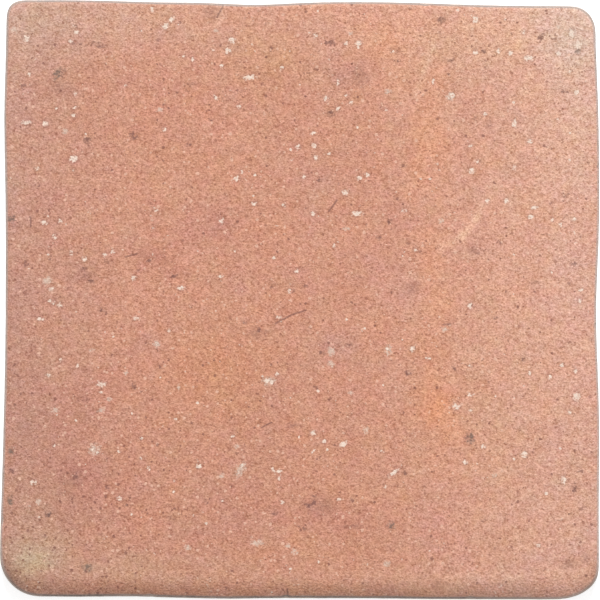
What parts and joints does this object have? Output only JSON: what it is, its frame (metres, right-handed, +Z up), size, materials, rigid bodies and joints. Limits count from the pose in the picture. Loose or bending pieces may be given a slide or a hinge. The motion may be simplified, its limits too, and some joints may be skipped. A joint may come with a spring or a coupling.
{
  "type": "porcelain tile",
  "caption": "Square porcelain floor tile with a sandy fired-clay face, wavy sides, rounded corners, one sloping edge and a back of shallow adhesive pockets.",
  "frame": {"origin": "centre of the back, on the plane of its ribs", "axes": "+Z up out of the face; +X and +Y along the sides, towards the right and the top as the face is looked at, with the wide sloping edge on -Y"},
  "size_m": [0.2, 0.2, 0.009],
  "materials": {
    "porcelain": "matte"
  },
  "bodies": {
    "root": {"porcelain_tile": "porcelain"}
  },
  "joints": []
}
